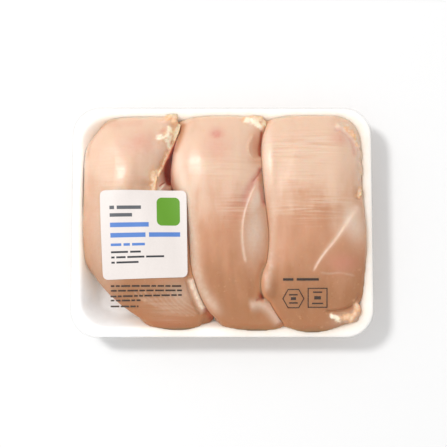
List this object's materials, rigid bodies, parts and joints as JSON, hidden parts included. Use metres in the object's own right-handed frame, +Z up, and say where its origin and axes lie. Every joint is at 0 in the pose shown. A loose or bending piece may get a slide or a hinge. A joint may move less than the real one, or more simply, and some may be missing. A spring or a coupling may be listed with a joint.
{
  "type": "tray pack of raw chicken breasts",
  "caption": "Sealed foam tray with raw boneless skinless chicken breasts side by side, under taut clear film with a plain paper label.",
  "frame": {"origin": "middle of the tray's foot, on the surface the pack stands on", "axes": "+X to the right along the long side of the tray, +Y to the back, where the thick ends of the breasts lie, +Z up through the film"},
  "size_m": [0.2416, 0.1856, 0.0466],
  "materials": {
    "foam": "smooth white expanded polystyrene foam",
    "meat_left": "moist raw poultry, glossy, pale pink with cream fat",
    "meat_middle": "moist raw poultry, glossy, pale pink",
    "meat_right": "moist raw poultry, glossy, pale pink with white sinew lines",
    "film": "clear glossy stretch film",
    "label_paper": "satin coated paper, off-white with plain printed bars"
  },
  "bodies": {
    "root": {"tray": "foam", "breast_left": "meat_left", "breast_middle": "meat_middle", "breast_right": "meat_right", "film": "film", "label": "label_paper"}
  },
  "joints": []
}
